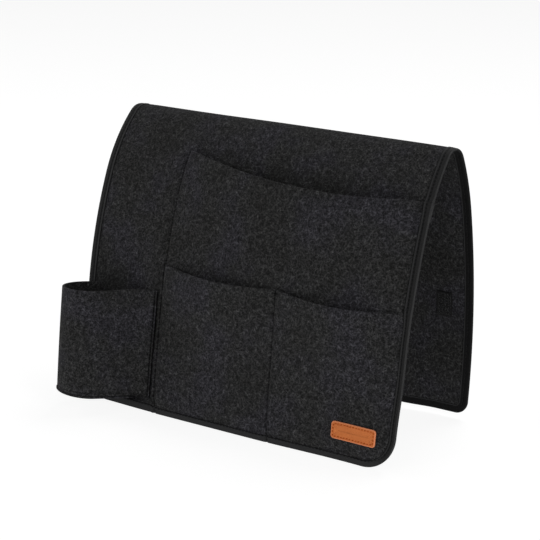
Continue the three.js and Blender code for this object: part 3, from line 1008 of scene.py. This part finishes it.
def felt_material():
    m = new_material("felt_charcoal")
    fibres = m.strands((8, 41, 77, 112, 149), (0.22, 0.8), (31.7, 17.3), 2.0, 0.7, 0.73)
    fibres = m.math("MULTIPLY", fibres, 0.4)
    fine = m.strands((20, 65, 105, 160), (1.1, 8.0), (13.1, 7.9), 1.0, 0.8, 0.76)
    fine = m.math("MULTIPLY", fine, 0.5)
    cloud = m.noise(m.cloth_mm(scale=(0.02, 0.02, 1)), detail=4.0)
    mottle = m.noise(m.cloth_mm(scale=(0.55, 0.55, 1), offset=(5, 9, 0)), detail=3.0, roughness=0.6)
    ground = m.ramp(mottle, [(0.33, (0.0015, 0.0015, 0.0015)), (0.67, (0.0125, 0.0124, 0.0127))])
    colour = m.mix(m.math("MULTIPLY", fine, 0.3, clamp=True), ground, (0.06, 0.06, 0.061, 1))
    colour = m.mix(m.math("MULTIPLY", fibres, 0.5, clamp=True), colour, (0.128, 0.1275, 0.1295, 1))
    shade = m.ramp(cloud, [(0.32, (0.86, 0.86, 0.83)), (0.48, (1, 1, 1)), (0.66, (1.08, 1.06, 1.2))])
    colour = m.mix(1.0, colour, shade, "MULTIPLY")
    patchy = m.noise(m.cloth_mm(scale=(0.24, 0.24, 1), offset=(3, 1, 0)), detail=1.0)
    colour = m.mix(1.0, colour, m.ramp(patchy, [(0.3, (0.82,) * 3), (0.7, (1.18,) * 3)]), "MULTIPLY")
    shader = m.tree.nodes["Principled BSDF"].inputs
    shader["Sheen Weight"].default_value = 0.02
    shader["Sheen Roughness"].default_value = 0.6
    relief = m.math("ADD", m.math("MULTIPLY", fine, 0.5), m.math("ADD", fibres, mottle))
    return m.surface(colour, 0.95, 0.04, relief, 0.5, 0.00035)


def tape_material():
    """Woven tape, lighter at the sides' fold (painted highlight) and fuzzy margin (partly painted highlight),
    with painted shade along their seam and a painted shadow at its own edge. The hems have a painted sheen,
    and the inner face painted shade.

    Its bands lie by the distance in from its fold, to which the inner face adds INNER_FACE.
    """
    m = new_material("tape_black")
    across = m.add("ShaderNodeTexWave", {
        "Vector": m.cloth_mm(scale=(1.25, 1.25, 1)), "Scale": 1.0, "Distortion": 0.6, "Detail": 1.0,
        "Detail Scale": 2.0,
    }, wave_type="BANDS", bands_direction="DIAGONAL")
    dust = m.noise(m.cloth_mm(scale=(1.4, 1.4, 1)), detail=3.0)
    tone = m.math("ADD", m.math("MULTIPLY", across.outputs["Fac"], 0.35), m.math("MULTIPLY", dust, 0.65))
    colour = m.ramp(tone, [(0.3, (0.006, 0.006, 0.0061)), (0.72, (0.024, 0.024, 0.0242))])
    along, inwards, _ = m.add("ShaderNodeSeparateXYZ", {0: m.cloth_mm()}).outputs
    side = m.add("ShaderNodeAttribute", attribute_name="side").outputs["Fac"]
    # painted shade in the stitch dimples along the seam, one for each stitch
    stitch_dimple_shade = m.spread(m.math("SINE", m.math("MULTIPLY", along, 2 * math.pi / STITCH)), -0.4, 0.4, 0.35, 0.95)
    # dust noise that breaks up the painted fold highlight and the fuzzy, partly highlighted margin along the
    # tape
    fold_highlight_noise, margin_fuzz_and_highlight = (m.spread(dust, 0.35, 0.65, *ends) for ends in ((0.4, 1), (0.15, 0.75)))
    fold = m.product(m.spread(inwards, 0.5, 0), side, fold_highlight_noise)
    seam = m.product(m.band(inwards, 3.1, 3.6, 4.9, 5.3), stitch_dimple_shade, side)
    hem = m.product(m.band(inwards, 0.6, 1, 6.6, 7), m.spread(side, 0.7, 0.3), 0.55)
    margin = m.product(m.band(inwards, 5.1, 5.5, 6.6, 6.9), side, margin_fuzz_and_highlight)
    selvedge = m.product(m.band(inwards, 6.95, 7.1, 7.6, 7.8), 0.9)
    rear = INNER_FACE - 1
    rear_face_shade = m.spread(inwards, rear, rear + 0.5, 0, 0.7)
    rear_edge_highlight = m.spread(inwards, INNER_FACE + 6.5, INNER_FACE + 6.8, 0, 0.8)
    rear_fold = m.product(m.band(inwards, rear, rear + 0.5, INNER_FACE + 0.1, INNER_FACE + 0.7), 0.3)
    for share, shade in (
        # painted highlight along the sides' fold
        (fold, (0.044, 0.044, 0.045)),
        # painted shade in the stitch groove along the sides' seam
        (seam, (0.002, 0.002, 0.0021)),
        # lighter face along the hems, a painted sheen
        (hem, (0.03, 0.03, 0.031)),
        # lighter margin along the sides: a fuzzy woven edge and a painted highlight where it catches the
        # light
        (margin, (0.035, 0.035, 0.036)),
        # painted shadow where the tape's edge steps down to the felt
        (selvedge, (0.001, 0.001, 0.0011)),
        # painted shade over the inner face
        (rear_face_shade, (0.002, 0.002, 0.0021)),
        # painted highlight along the inner face's edge, where it catches the light
        (rear_edge_highlight, (0.042, 0.042, 0.043)),
        # painted highlight at the fold on the inner face
        (rear_fold, (0.03, 0.03, 0.031)),
    ):
        colour = m.mix(share, colour, (*shade, 1))
    return m.surface(colour, 0.6, 0.06, tone, 0.6, 0.00025)


def thread_material(name, dark, light):
    m = new_material(name)
    place = m.add("ShaderNodeTexCoord").outputs["Object"]
    twist = m.add("ShaderNodeTexNoise", {"Vector": place, "Scale": 2400.0, "Detail": 1.0}).outputs["Fac"]
    return m.surface(m.ramp(twist, [(0.35, dark), (0.65, light)]), 0.6, 0.06, twist, 0.4, 0.0001)


def leather_material():
    m = new_material("leather_tan")
    cells = m.add("ShaderNodeTexVoronoi", {"Vector": m.cloth_mm(), "Scale": 2.2}, voronoi_dimensions="2D")
    pores = cells.outputs["Distance"]
    grain = m.noise(m.cloth_mm(scale=(0.9, 0.9, 1)), detail=5.0, roughness=0.65)
    cloud = m.noise(m.cloth_mm(scale=(0.12, 0.2, 1)), detail=2.0)
    tone = m.math("ADD", m.math("MULTIPLY", grain, 0.6), m.math("MULTIPLY", cloud, 0.4))
    colour = m.ramp(tone, [(0.3, (0.47, 0.122, 0.024)), (0.7, (0.62, 0.18, 0.043))])
    rim = m.add("ShaderNodeAttribute", attribute_name="rim").outputs["Fac"]
    worn = m.spread(rim, 1.0, 0.6)
    colour = m.mix(m.math("MULTIPLY", worn, 0.75), colour, (0.78, 0.27, 0.13, 1))
    relief = m.math("ADD", pores, m.math("MULTIPLY", grain, 0.6))
    return m.surface(colour, m.spread(grain, 0.3, 0.7, 0.5, 0.66), 0.22, relief, 0.25, 0.0002)


def hook_material():
    m = new_material("hook_tape_black")
    place = m.add("ShaderNodeTexCoord").outputs["Object"]
    grain = m.add("ShaderNodeTexNoise", {"Vector": place, "Scale": 900.0, "Detail": 2.0}).outputs["Fac"]
    colour = m.ramp(grain, [(0.35, (0.0015, 0.0015, 0.0016)), (0.7, (0.006, 0.006, 0.0065))])
    return m.surface(colour, 0.6, 0.15, grain, 0.4, 0.0001)


MATERIALS = {
    "felt": (felt_material(), "felt"),
    "tape": (tape_material(), "tape"),
    "tape_thread": (thread_material("thread_tape", (0.002, 0.002, 0.0022), (0.01, 0.01, 0.011)), "tape"),
    "inner_thread": (thread_material("thread_inner", (0.006, 0.006, 0.0062), (0.02, 0.02, 0.0205)), "tape"),
    "felt_thread": (thread_material("thread_felt", (0.001, 0.001, 0.0011), (0.005, 0.005, 0.0053)), "felt"),
    "leather": (leather_material(), "leather"),
    "leather_thread": (thread_material("thread_tan", (0.36, 0.075, 0.014), (0.5, 0.115, 0.024)), "leather"),
    "hook": (hook_material(), "hook_tape"),
    "hook_tips": (thread_material("hook_tips", (0.004, 0.004, 0.0042), (0.13, 0.13, 0.135)), "hook_tape"),
}
for kind, pieces in made.items():
    material, slot = MATERIALS[kind]
    for piece in pieces:
        piece.data.materials.append(material)
NODE_KINDS = (("binding", "tape"), ("label", "leather"), ("hook", "hook"))
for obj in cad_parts.values():
    kind = next((kind for word, kind in NODE_KINDS if word in obj.name), "felt")
    if obj.data.materials:
        obj.data.materials[0] = MATERIALS[kind][0]
    else:
        obj.data.materials.append(MATERIALS[kind][0])

# What moves with what

for piece in [felt_sheet, binding_tape, *tape_threads]:
    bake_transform(piece)
on_front = [large_pocket, lower_pocket, cup_sleeve, cup_plate, tag]
for piece in on_front + made["felt_thread"] + made["leather_thread"]:
    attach(piece, "front_flap")
for piece in made["hook"] + made["hook_tips"]:
    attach(piece, "back_flap")

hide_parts("front_panel", "crest_panel", "back_panel")
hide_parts("large_pocket")
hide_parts("lower_pocket")
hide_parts("front_binding", "crest_binding_left", "crest_binding_right", "back_binding")
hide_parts("cup_sleeve")
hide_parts("cup_base")
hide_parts("leather_label")
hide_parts("hook_patch_left")
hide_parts("hook_patch_right")

# Floor, light and camera


def floor_material():
    m = new_material("floor_white")
    seen = m.seen()
    # Where seen, the floor is a dim diffuse with a white glow. For the light it throws, it is a pale diffuse
    # that also glows at 0.55, a painted bounce light on the object from below.
    tone = m.mix(seen, (0.8, 0.8, 0.8, 1), (0.23, 0.23, 0.23, 1))
    strength = m.spread(seen, 0.0, 1.0, 0.55, 0.88)
    diffuse = m.add("ShaderNodeBsdfDiffuse", {"Color": tone})
    glow = m.add("ShaderNodeEmission", {"Color": (1, 1, 1, 1), "Strength": strength})
    both = m.add("ShaderNodeAddShader", {0: diffuse.outputs[0], 1: glow.outputs[0]})
    m.set(m.tree.nodes["Material Output"].inputs["Surface"], both.outputs[0])
    return m.owner


def make_floor():
    half_metres, rows = 6.0, 24
    x, y = np.meshgrid(*[np.linspace(-half_metres, half_metres, rows)] * 2)
    points = np.stack([x, y, np.zeros_like(x)], -1) * 1000 - SHIFT
    floor = make_object("floor", points, grid_faces(rows, rows)[:, ::-1])
    floor.data.materials.append(floor_material())


make_floor()

scene = bpy.context.scene
scene.view_settings.view_transform = "Standard"
scene.world = bpy.data.worlds.new("studio")
sky = Nodes(scene.world)
background = sky.tree.nodes["Background"].inputs
background["Color"].default_value = (1, 1, 1, 1)
sky.set(background["Strength"], sky.spread(sky.seen(), 0, 1, 0.1, 1.0))


def towards(azimuth, elevation):
    """The direction from the object to a lamp or to the camera."""
    a, e = math.radians(azimuth), math.radians(elevation)
    return Vector((math.sin(a) * math.cos(e), -math.cos(a) * math.cos(e), math.sin(e)))


def put(name, data, place, direction):
    """A lamp or camera that looks back along its direction."""
    obj = bpy.data.objects.new(name, data)
    obj.location = place
    obj.rotation_mode = "QUATERNION"
    obj.rotation_quaternion = (-direction).to_track_quat("-Z", "Y")
    scene.collection.objects.link(obj)
    return obj


LIT = Vector((0, 0, 0.13))  # what the lamps look at


def area_light(name, azimuth, elevation, distance, size, power):
    """A round lamp, in degrees, metres and watts."""
    data = bpy.data.lights.new(name, "AREA")
    data.shape = "DISK"
    data.size = size
    data.energy = power
    direction = towards(azimuth, elevation)
    put(name, data, LIT + direction * distance, direction)


area_light("key", -25, 12, 2.4, 1.2, 10)
area_light("top", 170, 62, 2.2, 1.4, 21)
area_light("side", 66, 20, 2.4, 1.0, 17.5)
area_light("left", -80, 25, 2.4, 1.4, 13.5)

camera_data = bpy.data.cameras.new("camera")
camera_data.sensor_width = 36
camera_data.lens = 113.49
scene.camera = put("camera", camera_data, (0.8119, -1.2332, 0.6137), towards(32.89, 17.76))
